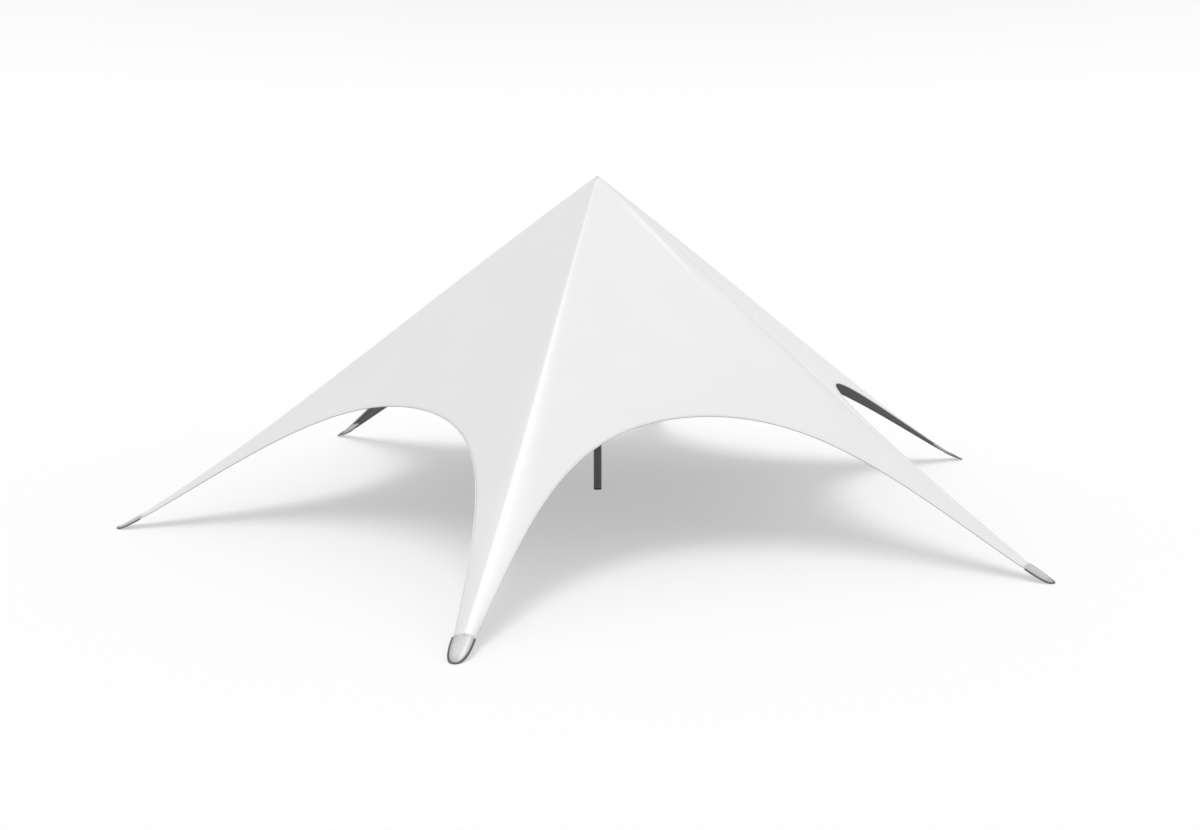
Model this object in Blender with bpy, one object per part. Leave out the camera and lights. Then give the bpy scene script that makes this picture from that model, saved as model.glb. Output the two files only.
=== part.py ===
"""Six-pointed star tent: one stretched canopy over a centre pole, held down by six foot plates.

Units are metres and +Z is up. The origin is on the floor, on the pole's axis, and the front
leg points along -Y. A bay is the sixth of the canopy between two ridges. Each bay ends in an
arched edge, and each ridge runs from the peak down to a foot plate.
"""
import math

import bmesh
import bpy
from mathutils import Matrix, Vector

# Driving sizes of the star
STAR_RADIUS = 7.0
PEAK_HEIGHT = 4.9
LEG_NAMES = ("front", "front_right", "back_right", "back", "back_left", "front_left")
BAY_NAMES = ("front_right", "right", "back_right", "back_left", "left", "front_left")
FIRST_LEG_ANGLE = math.radians(-90)
LEG_STEP = 2 * math.pi / len(LEG_NAMES)

# How the stretched cloth departs from a flat pyramid
RIDGE_SAG = 0.1225
RIDGE_SAG_POWER = 2.126
BAY_SAG_PER_METRE = 0.0338
ROUNDING_AT_PEAK = 0.016
ROUNDING_GROWTH = 0.40
ROUNDING_RISE_POWER = 2.5
ROUNDING_FALL_POWER = 8.0

# Arched edge of a bay, seen from above
ARCH_RADIUS = 3.652
ARCH_SQUARE_TERM = 1.593
ARCH_FOURTH_TERM = 1.323
FABRIC_END = 6.70
LEG_HALF_WIDTH = 0.102

# Cloth, hems and webbing, thicker than the real cloth so that they are closed solids
CLOTH_THICKNESS = 0.008
HEM_RADIUS = 0.0075
WEBBING_WIDTH = 0.050
WEBBING_THICKNESS = 0.004
WEBBING_START = 0.15
UNDER_CLOTH_DROP = 0.004
PEAK_CONE_RADIUS = 0.25
GAP = 0.0003

# Foot plate, a pressed channel with a solid toe
PLATE_HALF_WIDTH = 0.1055
PLATE_NOSE_POWER = 2.5
PLATE_THICKNESS = 0.006
PLATE_WALL_DEPTH = 0.020
PLATE_WALL_THICKNESS = 0.006
PLATE_CROWN = 0.021
PLATE_CROWN_POWER = 2.4
TOE_HEIGHT = 0.012
TOE_EDGE_HEIGHT = 0.008
TONGUE_LENGTH = 0.26
TONGUE_HALF_WIDTH = 0.080
SHOULDER_LENGTH = 0.004

# Rubber edging that runs round the foot plate's nose
EDGING_RADIUS = 0.009
EDGING_START = 0.014
EDGING_GAP = 0.0006

# Centre pole
POLE_RADIUS = 0.0635
POLE_WALL = 0.005
POLE_PLUG_HEIGHT = 0.025
POLE_JOINT_HEIGHT = 2.55
SLEEVE_LENGTH = 0.32
SLEEVE_WALL = 0.006
SPIGOT_LENGTH = 0.50
HEAD_RADIUS = 0.20
HEAD_FLAT_RADIUS = 0.02
HEAD_RIM_HEIGHT = 0.025
HEAD_SLOPE_MARGIN = 1.004

# Mesh density
ARCH_SEGMENTS = 20
BAY_RINGS = 9
RING_CROWDING = 1.4
HEM_SIDES = 8
WEBBING_STATIONS = 12
NOSE_STATIONS = 14
NOSE_LAST_TURN = math.radians(4)
TOE_STATION = 9
TOE_STEP = 0.0002
PLATE_COLUMNS = 8
EDGING_SIDES = 8
ROUND_SIDES = 32

COS_HALF = math.cos(LEG_STEP / 2)
SIN_HALF = math.sin(LEG_STEP / 2)
TAN_HALF = math.tan(LEG_STEP / 2)


def clear_scene():
    """Remove whatever the file holds, so that only the tent is in it."""
    for item in list(bpy.data.objects):
        bpy.data.objects.remove(item, do_unlink=True)


def make_material(name, colour, roughness, metallic):
    """Return a plain Principled BSDF material."""
    material = bpy.data.materials.new(name)
    material.use_nodes = True
    shader = material.node_tree.nodes["Principled BSDF"]
    shader.inputs["Base Color"].default_value = (*colour, 1.0)
    shader.inputs["Roughness"].default_value = roughness
    shader.inputs["Metallic"].default_value = metallic
    return material


def ridge_height(radius):
    """Height of a ridge line at this distance from the pole's axis."""
    share = (radius / STAR_RADIUS) ** RIDGE_SAG_POWER
    straight = PEAK_HEIGHT * (1 - radius / STAR_RADIUS)
    return straight - 4 * RIDGE_SAG * share * (1 - share)


def canopy_height(out, across):
    """Height of the cloth's outer face in a bay.

    out runs along the bay's middle line and across is square to it. The two distances to the
    bay's ridges give the sag between them, and the nearer one gives the rounding of the fold.
    """
    near = out * SIN_HALF - abs(across) * COS_HALF
    far = out * SIN_HALF + abs(across) * COS_HALF
    ridge_radius = out / COS_HALF
    share = ridge_radius / STAR_RADIUS
    growth = share**ROUNDING_RISE_POWER - share**ROUNDING_FALL_POWER
    rounding = ROUNDING_AT_PEAK + ROUNDING_GROWTH * growth
    side_slope = PEAK_HEIGHT / STAR_RADIUS * TAN_HALF
    softened = side_slope * rounding * (math.log(2) - math.log(1 + math.exp(-2 * near / rounding)))
    return ridge_height(ridge_radius) + softened - BAY_SAG_PER_METRE * near * far


def leg_to_bay(along, aside):
    """Turn a place beside the bay's first leg into the bay's own out and across."""
    out = along * COS_HALF + aside * SIN_HALF
    across = aside * COS_HALF - along * SIN_HALF
    return out, across


def leg_height(along, aside):
    """Height of the cloth's outer face over a leg, along it and aside of its ridge."""
    out, across = leg_to_bay(along, abs(aside))
    return canopy_height(out, across)


def arch_point(share):
    """Plan point on the arched edge, for share from -1 at one foot to 1 at the next."""
    end_out, end_across = leg_to_bay(FABRIC_END, LEG_HALF_WIDTH)
    sixth_term = end_out - ARCH_RADIUS - ARCH_SQUARE_TERM - ARCH_FOURTH_TERM
    out = ARCH_RADIUS + ARCH_SQUARE_TERM * share**2 + ARCH_FOURTH_TERM * share**4
    out += sixth_term * share**6
    return Vector((out, -end_across * share))


def arch_normal(share):
    """Unit vector square to the arched edge in plan, pointing away from the pole."""
    step = 1e-4
    along = arch_point(share + step) - arch_point(share - step)
    return Vector((along.y, -along.x)).normalized()


def arch_shares():
    """The places along an arched edge where its mesh has points."""
    return [2 * i / ARCH_SEGMENTS - 1 for i in range(ARCH_SEGMENTS + 1)]


def cloth_edge(share):
    """Plan point on the cloth's own edge, just inside its hem."""
    inset = HEM_RADIUS * math.cos(math.pi / HEM_SIDES) + GAP
    return arch_point(share) - arch_normal(share) * inset


def bay_angle(index):
    """Angle of a bay's middle line."""
    return FIRST_LEG_ANGLE + LEG_STEP * (index + 0.5)


def add_object(name, mesh, material, angle, smooth_angle=30):
    """Put a mesh in the scene, turned about the pole's axis."""
    mesh.materials.append(material)
    mesh.shade_smooth()
    mesh.set_sharp_from_angle(angle=math.radians(smooth_angle))
    item = bpy.data.objects.new(name, mesh)
    item.rotation_euler = (0, 0, angle)
    bpy.context.scene.collection.objects.link(item)
    return item


def finish_mesh(name, work):
    """Point the faces outwards and return the mesh."""
    bmesh.ops.recalc_face_normals(work, faces=work.faces)
    bmesh.ops.triangulate(work, faces=work.faces)
    mesh = bpy.data.meshes.new(name)
    work.to_mesh(mesh)
    work.free()
    return mesh


def shell_from_grid(name, rows):
    """Close a grid of outer points with the same grid lowered by the cloth's thickness."""
    work = bmesh.new()
    lower = Vector((0, 0, -CLOTH_THICKNESS))
    tops = [[work.verts.new(point) for point in row] for row in rows]
    bottoms = [[work.verts.new(point + lower) for point in row] for row in rows]
    last_row = len(rows) - 1
    last_column = len(rows[0]) - 1
    for r in range(last_row):
        for c in range(last_column):
            work.faces.new((tops[r][c], tops[r + 1][c], tops[r + 1][c + 1], tops[r][c + 1]))
            work.faces.new((bottoms[r][c], bottoms[r][c + 1], bottoms[r + 1][c + 1], bottoms[r + 1][c]))
    for r in (0, last_row):
        for c in range(last_column):
            work.faces.new((tops[r][c], tops[r][c + 1], bottoms[r][c + 1], bottoms[r][c]))
    for c in (0, last_column):
        for r in range(last_row):
            work.faces.new((tops[r][c], bottoms[r][c], bottoms[r + 1][c], tops[r + 1][c]))
    return finish_mesh(name, work)


def loft(name, loops):
    """Join closed loops of points into one body with flat ends."""
    work = bmesh.new()
    rings = [[work.verts.new(point) for point in loop] for loop in loops]
    count = len(rings[0])
    for first, second in zip(rings, rings[1:]):
        for i in range(count):
            j = (i + 1) % count
            work.faces.new((first[i], first[j], second[j], second[i]))
    work.faces.new(rings[0])
    work.faces.new(list(reversed(rings[-1])))
    return finish_mesh(name, work)


def bay_outline():
    """Plan points round a bay's outer end: half a foot, the arched edge, half a foot."""
    arch = [cloth_edge(share) for share in arch_shares()]
    ridge = Vector(leg_to_bay(FABRIC_END, GAP / 2))
    halfway = ridge.lerp(arch[0], 0.5)
    mirrored = [Vector((point.x, -point.y)) for point in (halfway, ridge)]
    return [ridge, halfway, *arch, *mirrored]


def peak_outline(outline):
    """Plan points round the peak, one inside each point of a bay's outer outline."""
    inner = []
    for point in outline:
        inner.append(point * (PEAK_CONE_RADIUS * COS_HALF / point.x))
    ridge = Vector(leg_to_bay(PEAK_CONE_RADIUS, GAP / 2))
    inner[0] = ridge
    inner[-1] = Vector((ridge.x, -ridge.y))
    return inner


def build_bay(index, material):
    """One sixth of the canopy, from the peak cone to its arched edge."""
    outer = bay_outline()
    inner = peak_outline(outer)
    rows = []
    for ring in range(BAY_RINGS + 1):
        reach = 1 - (1 - ring / BAY_RINGS) ** RING_CROWDING
        plan = [start.lerp(end, reach) for start, end in zip(inner, outer)]
        rows.append([Vector((p.x, p.y, canopy_height(p.x, p.y))) for p in plan])
    name = "canopy_panel_" + BAY_NAMES[index]
    mesh = shell_from_grid(name, rows)
    return add_object(name, mesh, material, bay_angle(index))


def build_peak_cone(material):
    """The doubled tip of the canopy that sits on the pole head."""
    work = bmesh.new()
    radius = PEAK_CONE_RADIUS - GAP / COS_HALF
    plan = []
    for leg in range(len(LEG_NAMES)):
        angle = FIRST_LEG_ANGLE + leg * LEG_STEP
        middle = radius * COS_HALF
        plan.append((radius, angle, ridge_height(radius)))
        plan.append((middle, angle + LEG_STEP / 2, canopy_height(middle, 0)))
    rim = [Vector((r * math.cos(a), r * math.sin(a), z)) for r, a, z in plan]
    lower = Vector((0, 0, -CLOTH_THICKNESS))
    tip = Vector((0, 0, PEAK_HEIGHT))
    top = [work.verts.new(point) for point in rim]
    bottom = [work.verts.new(point + lower) for point in rim]
    top_tip = work.verts.new(tip)
    bottom_tip = work.verts.new(tip + lower)
    for i in range(len(rim)):
        j = (i + 1) % len(rim)
        work.faces.new((top[i], top[j], top_tip))
        work.faces.new((bottom[j], bottom[i], bottom_tip))
        work.faces.new((top[i], bottom[i], bottom[j], top[j]))
    mesh = finish_mesh("peak_cone", work)
    return add_object("peak_cone", mesh, material, 0)


def tube_along(name, centres, asides, radius, sides):
    """Loft a round body along a path, given the level direction aside of each point."""
    loops = []
    for i, centre in enumerate(centres):
        before = centres[max(i - 1, 0)]
        after = centres[min(i + 1, len(centres) - 1)]
        up = asides[i].cross((after - before).normalized()).normalized()
        loop = []
        for side in range(sides):
            turn = 2 * math.pi * (side + 0.5) / sides
            loop.append(centre + (asides[i] * math.cos(turn) + up * math.sin(turn)) * radius)
        loops.append(loop)
    return loft(name, loops)


def build_hem(index, material):
    """The rope-filled hem along a bay's arched edge."""
    centres = []
    asides = []
    for share in arch_shares():
        edge = cloth_edge(share)
        plan = arch_point(share)
        height = canopy_height(edge.x, edge.y) - CLOTH_THICKNESS / 2
        centres.append(Vector((plan.x, plan.y, height)))
        asides.append(arch_normal(share).to_3d())
    name = "arch_hem_" + BAY_NAMES[index]
    mesh = tube_along(name, centres, asides, HEM_RADIUS, HEM_SIDES)
    return add_object(name, mesh, material, bay_angle(index))


def strip_loop(along, half_width, columns, top, bottom):
    """Closed loop across a leg: the top points one way, then the bottom points back."""
    places = [half_width * (2 * i / columns - 1) for i in range(columns + 1)]
    upper = [Vector((along, place, top(along, place))) for place in places]
    under = [Vector((along, place, bottom(along, place))) for place in reversed(places)]
    return upper + under


def build_webbing(leg, material):
    """The load webbing under a ridge, from the pole head to the foot plate's tongue."""
    end = FABRIC_END - TONGUE_LENGTH - GAP

    def top(along, aside):
        return leg_height(along, aside) - CLOTH_THICKNESS - UNDER_CLOTH_DROP

    def bottom(along, aside):
        return top(along, aside) - WEBBING_THICKNESS

    loops = []
    for station in range(WEBBING_STATIONS + 1):
        along = WEBBING_START + (end - WEBBING_START) * station / WEBBING_STATIONS
        loops.append(strip_loop(along, WEBBING_WIDTH / 2, 2, top, bottom))
    name = "ridge_webbing_" + LEG_NAMES[leg]
    return add_object(name, loft(name, loops), material, FIRST_LEG_ANGLE + leg * LEG_STEP)


def nose_share(along):
    """How far along the foot plate's nose a place is, 0 at the cloth's end and 1 at the toe."""
    return (along - FABRIC_END) / (STAR_RADIUS - FABRIC_END)


def nose_places():
    """Distances along the leg at which the nose has cross-sections, closer together at the toe."""
    places = []
    start = nose_share(FABRIC_END + GAP + SHOULDER_LENGTH)
    first = math.acos(start ** (PLATE_NOSE_POWER / 2))
    for station in range(NOSE_STATIONS + 1):
        turn = first + (NOSE_LAST_TURN - first) * station / NOSE_STATIONS
        share = math.cos(turn) ** (2 / PLATE_NOSE_POWER)
        places.append(FABRIC_END + (STAR_RADIUS - FABRIC_END) * share)
    return places


def plate_half_width(along):
    """Half width of the foot plate's rounded nose."""
    return PLATE_HALF_WIDTH * math.sqrt(max(1 - nose_share(along) ** PLATE_NOSE_POWER, 0))


def plate_height(along, place):
    """Height of the plate's top face, for place from -1 at one edge to 1 at the other."""
    start = leg_height(FABRIC_END, 0)
    crown = start + (TOE_HEIGHT - start) * nose_share(along)
    drop = PLATE_CROWN * (plate_half_width(along) / PLATE_HALF_WIDTH) ** 2
    return max(crown - drop * abs(place) ** PLATE_CROWN_POWER, TOE_EDGE_HEIGHT)


def nose_loop(along, solid):
    """Cross-section of the plate's open channel, or of its solid toe."""
    half = plate_half_width(along)
    inner = half - PLATE_WALL_THICKNESS
    wall_foot = 0 if solid else max(plate_height(along, 1) - PLATE_WALL_DEPTH, 0)
    upper = []
    under = []
    for i in range(PLATE_COLUMNS + 1):
        place = 2 * i / PLATE_COLUMNS - 1
        height = plate_height(along, place)
        upper.append(Vector((along, half * place, height)))
        under.append(Vector((along, inner * place, 0 if solid else max(height - PLATE_THICKNESS, 0))))
    under.reverse()
    right = Vector((along, half, wall_foot))
    right_inner = Vector((along, inner, wall_foot))
    left_inner = Vector((along, -inner, wall_foot))
    left = Vector((along, -half, wall_foot))
    return [*upper, right, right_inner, *under, left_inner, left]


def tongue_loop(along):
    """Cross-section of the plate's tongue, which lies under the end of the cloth."""
    upper = []
    under = []
    for i in range(PLATE_COLUMNS + 1):
        aside = TONGUE_HALF_WIDTH * (2 * i / PLATE_COLUMNS - 1)
        height = leg_height(along, aside) - CLOTH_THICKNESS - UNDER_CLOTH_DROP
        upper.append(Vector((along, aside, height)))
        under.append(Vector((along, aside, height - PLATE_THICKNESS)))
    under.reverse()
    edge = upper[-1]
    other = upper[0]
    step = PLATE_THICKNESS / 3
    right = [edge - Vector((0, 0, step)), edge - Vector((0, 0, 2 * step))]
    left = [other - Vector((0, 0, 2 * step)), other - Vector((0, 0, step))]
    return [*upper, *right, *under, *left]


def build_foot_plate(leg, material):
    """Pressed plate that spreads the leg's pull and lies with its toe on the floor."""
    loops = []
    for station in (0, 1, 2):
        loops.append(tongue_loop(FABRIC_END - TONGUE_LENGTH * (1 - station / 2)))
    for station, along in enumerate(nose_places()):
        if station <= TOE_STATION:
            loops.append(nose_loop(along, False))
        if station >= TOE_STATION:
            loops.append(nose_loop(along + TOE_STEP, True))
    name = "foot_plate_" + LEG_NAMES[leg]
    return add_object(name, loft(name, loops), material, FIRST_LEG_ANGLE + leg * LEG_STEP)


def build_foot_edging(leg, material):
    """The rubber edging round the foot plate's nose."""
    places = [along for along in nose_places() if along > FABRIC_END + EDGING_START]
    outline = [Vector((along, -plate_half_width(along))) for along in places]
    outline += [Vector((point.x, -point.y)) for point in reversed(outline)]
    centres = []
    asides = []
    for i, point in enumerate(outline):
        before = outline[max(i - 1, 0)]
        after = outline[min(i + 1, len(outline) - 1)]
        along = (after - before).normalized()
        aside = Vector((along.y, -along.x, 0))
        wall_middle = plate_height(point.x, 1) - PLATE_WALL_DEPTH / 2
        plan = point + aside.to_2d() * (EDGING_RADIUS * math.cos(math.pi / EDGING_SIDES) + EDGING_GAP)
        centres.append(Vector((plan.x, plan.y, max(wall_middle, EDGING_RADIUS))))
        asides.append(aside)
    name = "foot_edging_" + LEG_NAMES[leg]
    mesh = tube_along(name, centres, asides, EDGING_RADIUS, EDGING_SIDES)
    return add_object(name, mesh, material, FIRST_LEG_ANGLE + leg * LEG_STEP)


def turned(name, profile, material):
    """Turn a closed profile of (radius, height) points round the pole's axis."""
    work = bmesh.new()
    rings = []
    for radius, height in profile:
        if radius < 1e-9:
            rings.append([work.verts.new((0, 0, height))])
            continue
        ring = []
        for side in range(ROUND_SIDES):
            angle = 2 * math.pi * side / ROUND_SIDES
            ring.append(work.verts.new((radius * math.cos(angle), radius * math.sin(angle), height)))
        rings.append(ring)
    closed = profile[0][0] > 1e-9
    pairs = list(zip(rings, rings[1:]))
    if closed:
        pairs.append((rings[-1], rings[0]))
    for first, second in pairs:
        for i in range(ROUND_SIDES):
            j = (i + 1) % ROUND_SIDES
            corners = [first[i % len(first)], first[j % len(first)]]
            corners += [second[j % len(second)], second[i % len(second)]]
            unique = list(dict.fromkeys(corners))
            work.faces.new(unique)
    mesh = finish_mesh(name, work)
    return add_object(name, mesh, material, 0)


def tube_profile(inner, outer, low, high):
    """Profile of a plain tube."""
    return [(outer, high), (outer, low), (inner, low), (inner, high)]


def build_pole(tube_finish, sleeve_finish, plug_finish, head_finish):
    """The centre pole: plug, two tubes joined by a spigot and a sleeve, and the head."""
    bore = POLE_RADIUS - POLE_WALL
    tip_middle = PEAK_CONE_RADIUS * COS_HALF
    slope = (PEAK_HEIGHT - canopy_height(tip_middle, 0)) / tip_middle * HEAD_SLOPE_MARGIN
    seat = PEAK_HEIGHT - CLOTH_THICKNESS - GAP
    rim_height = seat - slope * HEAD_RADIUS
    head_base = rim_height - HEAD_RIM_HEIGHT
    plug = [(0, 0), (POLE_RADIUS, 0), (POLE_RADIUS, POLE_PLUG_HEIGHT), (0, POLE_PLUG_HEIGHT)]
    turned("pole_foot_plug", plug, plug_finish)
    low_tube = tube_profile(bore, POLE_RADIUS, POLE_PLUG_HEIGHT + GAP, POLE_JOINT_HEIGHT)
    turned("pole_lower_tube", low_tube, tube_finish)
    high_tube = tube_profile(bore, POLE_RADIUS, POLE_JOINT_HEIGHT + GAP, head_base - GAP)
    turned("pole_upper_tube", high_tube, tube_finish)
    sleeve_bore = POLE_RADIUS + GAP
    sleeve_outer = sleeve_bore + SLEEVE_WALL
    sleeve_low = POLE_JOINT_HEIGHT - SLEEVE_LENGTH / 2
    sleeve = tube_profile(sleeve_bore, sleeve_outer, sleeve_low, sleeve_low + SLEEVE_LENGTH)
    turned("pole_joint_sleeve", sleeve, sleeve_finish)
    spigot_outer = bore - GAP
    spigot_bore = spigot_outer - POLE_WALL
    spigot_low = POLE_JOINT_HEIGHT - SPIGOT_LENGTH / 2
    spigot = tube_profile(spigot_bore, spigot_outer, spigot_low, spigot_low + SPIGOT_LENGTH)
    turned("pole_spigot", spigot, sleeve_finish)
    head = [
        (0, head_base),
        (HEAD_RADIUS, head_base),
        (HEAD_RADIUS, rim_height),
        (HEAD_FLAT_RADIUS, seat - slope * HEAD_FLAT_RADIUS),
        (0, seat - slope * HEAD_FLAT_RADIUS),
    ]
    turned("pole_head", head, head_finish)


def main():
    """Build every piece of the tent."""
    clear_scene()
    cloth = make_material("canopy_cloth", (0.90, 0.90, 0.91), 0.55, 0.0)
    hem = make_material("grey_hem", (0.45, 0.45, 0.46), 0.6, 0.0)
    webbing = make_material("dark_webbing", (0.10, 0.10, 0.11), 0.8, 0.0)
    steel = make_material("galvanised_plate", (0.62, 0.63, 0.64), 0.4, 0.9)
    tube = make_material("dark_pole", (0.09, 0.09, 0.095), 0.4, 0.6)
    sleeve = make_material("pole_fittings", (0.05, 0.05, 0.055), 0.5, 0.4)
    rubber = make_material("rubber_plug", (0.03, 0.03, 0.03), 0.8, 0.0)
    edging = make_material("rubber_edging", (0.10, 0.10, 0.10), 0.7, 0.0)
    head = make_material("black_head", (0.05, 0.05, 0.05), 0.5, 0.0)
    for index in range(len(BAY_NAMES)):
        build_bay(index, cloth)
        build_hem(index, hem)
    build_peak_cone(cloth)
    for leg in range(len(LEG_NAMES)):
        build_webbing(leg, webbing)
        build_foot_plate(leg, steel)
        build_foot_edging(leg, edging)
    build_pole(tube, sleeve, rubber, head)


main()
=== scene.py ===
"""Looks of a six-pointed star tent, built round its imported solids.

Metres, +Z up. The origin is on the floor on the pole's axis, and the front leg points along -Y.
A bay is the sixth of the canopy between two ridges, and each ridge runs down to a foot plate.
"""
import logging
import math
from dataclasses import dataclass, fields
from enum import Enum
from typing import Any, Optional, Sequence, Union

import bmesh
import bpy
from mathutils import Matrix, Vector


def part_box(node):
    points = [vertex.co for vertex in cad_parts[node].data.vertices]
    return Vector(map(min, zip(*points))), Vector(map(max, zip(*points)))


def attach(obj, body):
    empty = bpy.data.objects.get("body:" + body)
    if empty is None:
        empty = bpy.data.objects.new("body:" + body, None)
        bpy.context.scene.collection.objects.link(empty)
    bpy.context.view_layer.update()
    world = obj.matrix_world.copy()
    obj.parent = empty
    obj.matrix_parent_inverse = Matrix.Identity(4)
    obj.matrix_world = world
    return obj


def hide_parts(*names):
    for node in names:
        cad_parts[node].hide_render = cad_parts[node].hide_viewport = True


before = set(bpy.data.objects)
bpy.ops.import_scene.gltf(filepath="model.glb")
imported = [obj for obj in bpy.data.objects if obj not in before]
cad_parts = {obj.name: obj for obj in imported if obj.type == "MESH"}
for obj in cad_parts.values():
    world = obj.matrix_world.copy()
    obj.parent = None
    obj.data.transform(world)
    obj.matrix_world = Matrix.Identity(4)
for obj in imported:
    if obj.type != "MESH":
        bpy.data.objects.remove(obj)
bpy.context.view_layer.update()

ROOT_BODY = "root"
LEG_NAMES = ("front", "front_right", "back_right", "back", "back_left", "front_left")
BAY_NAMES = ("front_right", "right", "back_right", "back_left", "left", "front_left")
FIRST_LEG_ANGLE = math.radians(-90)
LEG_STEP = 2 * math.pi / len(LEG_NAMES)
COS_HALF = math.cos(LEG_STEP / 2)
SIN_HALF = math.sin(LEG_STEP / 2)
UP = Vector((0, 0, 1))
LOG = logging.getLogger("star_tent")

Colour = tuple[float, float, float]
Run = list[tuple[Vector, Vector]]


class Slot(Enum):
    """The record's material slots."""

    CLOTH = "canopy_cloth"
    HEM = "grey_hem"
    WEBBING = "dark_webbing"
    PLATE = "galvanised_plate"
    EDGING = "rubber_edging"
    POLE = "dark_pole"
    FITTING = "pole_fittings"
    PLUG = "rubber_plug"
    HEAD = "black_head"


# Node trees


@dataclass(frozen=True)
class Wire:
    """An output inside a node tree, with which later numbers can be worked out."""

    bench: "NodeBench"
    socket: bpy.types.NodeSocket

    def __add__(self, other: "Scalar") -> "Wire":
        """Sum."""
        return self.bench.math("ADD", self, other)

    def __sub__(self, other: "Scalar") -> "Wire":
        """Difference."""
        return self.bench.math("SUBTRACT", self, other)

    def __rsub__(self, other: float) -> "Wire":
        """Difference from a plain number."""
        return self.bench.math("SUBTRACT", other, self)

    def __mul__(self, other: "Scalar") -> "Wire":
        """Product."""
        return self.bench.math("MULTIPLY", self, other)

    def __truediv__(self, other: "Scalar") -> "Wire":
        """Quotient."""
        return self.bench.math("DIVIDE", self, other)

    def __pow__(self, other: "Scalar") -> "Wire":
        """Power."""
        return self.bench.math("POWER", self, other)

    def __abs__(self) -> "Wire":
        """Absolute value."""
        return self.bench.math("ABSOLUTE", self)

    __radd__ = __add__
    __rmul__ = __mul__


Scalar = Union[float, Wire]


def natural_log(value: Scalar) -> Scalar:
    """Natural logarithm of a number or of a wire."""
    if isinstance(value, Wire):
        return value.bench.math("LOGARITHM", value, math.e)
    return math.log(value)


def exponential(value: Scalar) -> Scalar:
    """Power of e, of a number or of a wire."""
    return value.bench.math("EXPONENT", value) if isinstance(value, Wire) else math.exp(value)


class NodeBench:
    """A node tree that is put together node by node."""

    def __init__(self, tree: bpy.types.NodeTree) -> None:
        """Start work on a tree."""
        self.tree = tree

    def node(self, kind: str, feeds: Optional[dict[Any, Any]] = None, **settings: Any) -> bpy.types.Node:
        """Add a node.

        Args:
            kind: Blender's name for the kind of node.
            feeds: a wire or a constant for each input, by name or number.
            settings: the node's own settings.

        Returns:
            The node.
        """
        node = self.tree.nodes.new(kind)
        for key, value in settings.items():
            setattr(node, key, value)
        for key, value in (feeds or {}).items():
            self.feed(node.inputs[key], value)
        return node

    def feed(self, socket: bpy.types.NodeSocket, value: Any) -> None:
        """Link a wire to an input, or set the input to a constant."""
        if isinstance(value, Wire):
            self.tree.links.new(value.socket, socket)
        else:
            socket.default_value = value

    def wire(
        self, kind: str, feeds: Optional[dict[Any, Any]] = None, output: Any = 0, **settings: Any
    ) -> Wire:
        """Add a node and return one of its outputs.

        Args:
            kind: Blender's name for the kind of node.
            feeds: a wire or a constant for each input, by name or number.
            output: name or number of the output.
            settings: the node's own settings.

        Returns:
            That output.
        """
        return Wire(self, self.node(kind, feeds, **settings).outputs[output])

    def math(self, operation: str, *values: Scalar) -> Wire:
        """Add a Math node and return its value."""
        return self.wire("ShaderNodeMath", dict(enumerate(values)), operation=operation)

    def vector(self, operation: str, *values: Any) -> Wire:
        """Add a Vector Math node and return its vector."""
        return self.wire("ShaderNodeVectorMath", dict(enumerate(values)), operation=operation)

    def parts(self, vector: Wire) -> tuple[Wire, Wire, Wire]:
        """Split a vector into its three numbers."""
        node = self.node("ShaderNodeSeparateXYZ", {0: vector})
        return tuple(Wire(self, socket) for socket in node.outputs)

    def joined(self, x: Scalar, y: Scalar, z: Scalar) -> Wire:
        """Put three numbers together as a vector."""
        return self.wire("ShaderNodeCombineXYZ", {0: x, 1: y, 2: z})


class GeometryBench(NodeBench):
    """A Geometry Nodes tree with named inputs, ending in the finished piece's materials."""

    def __init__(self, name: str) -> None:
        """Start a tree that takes a mesh in and gives a mesh out."""
        super().__init__(bpy.data.node_groups.new(name, "GeometryNodeTree"))
        sockets = self.tree.interface
        sockets.new_socket(name="Geometry", in_out="INPUT", socket_type="NodeSocketGeometry")
        sockets.new_socket(name="Geometry", in_out="OUTPUT", socket_type="NodeSocketGeometry")
        self.entry = self.tree.nodes.new("NodeGroupInput")
        self.values: dict[str, Any] = {}
        self.shape = Wire(self, self.entry.outputs["Geometry"])

    def size(self, name: str, value: Any, kind: str = "Float") -> Wire:
        """Add a named input to the tree.

        Args:
            name: the input's name.
            value: what the modifier gives it.
            kind: Float, Int, Vector or Material.

        Returns:
            The input's wire inside the tree.
        """
        item = self.tree.interface.new_socket(name=name, in_out="INPUT", socket_type="NodeSocket" + kind)
        self.values[item.identifier] = value
        return Wire(self, self.entry.outputs[name])

    def attribute(self, name: str, kind: str = "FLOAT") -> Wire:
        """Read an attribute of the mesh."""
        return self.wire("GeometryNodeInputNamedAttribute", {"Name": name}, data_type=kind)

    def close(self, shape: Wire, *finishes: tuple[Wire, Optional[Wire]]) -> None:
        """Make instances real, give the materials and end the tree.

        Args:
            shape: the geometry.
            finishes: each material's wire with the wire that selects its faces, or None for all.
        """
        shape = self.wire("GeometryNodeRealizeInstances", {"Geometry": shape})
        for material, chosen in finishes:
            feeds = {"Geometry": shape, "Material": material}
            if chosen is not None:
                feeds["Selection"] = chosen
            shape = self.wire("GeometryNodeSetMaterial", feeds)
        shape = self.wire("GeometryNodeSetShadeSmooth", {"Geometry": shape})
        leave = self.tree.nodes.new("NodeGroupOutput")
        self.tree.links.new(shape.socket, leave.inputs["Geometry"])

    def make(self, name: str, base: bpy.types.Mesh) -> bpy.types.Object:
        """Run the tree on a mesh.

        Args:
            name: the piece's name.
            base: the mesh that goes in.

        Returns:
            A plain piece without the modifier.
        """
        piece = place_in_scene(name, base)
        modifier = piece.modifiers.new(self.tree.name, "NODES")
        modifier.node_group = self.tree
        for identifier, value in self.values.items():
            modifier[identifier] = value
        return settled(piece)


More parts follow.
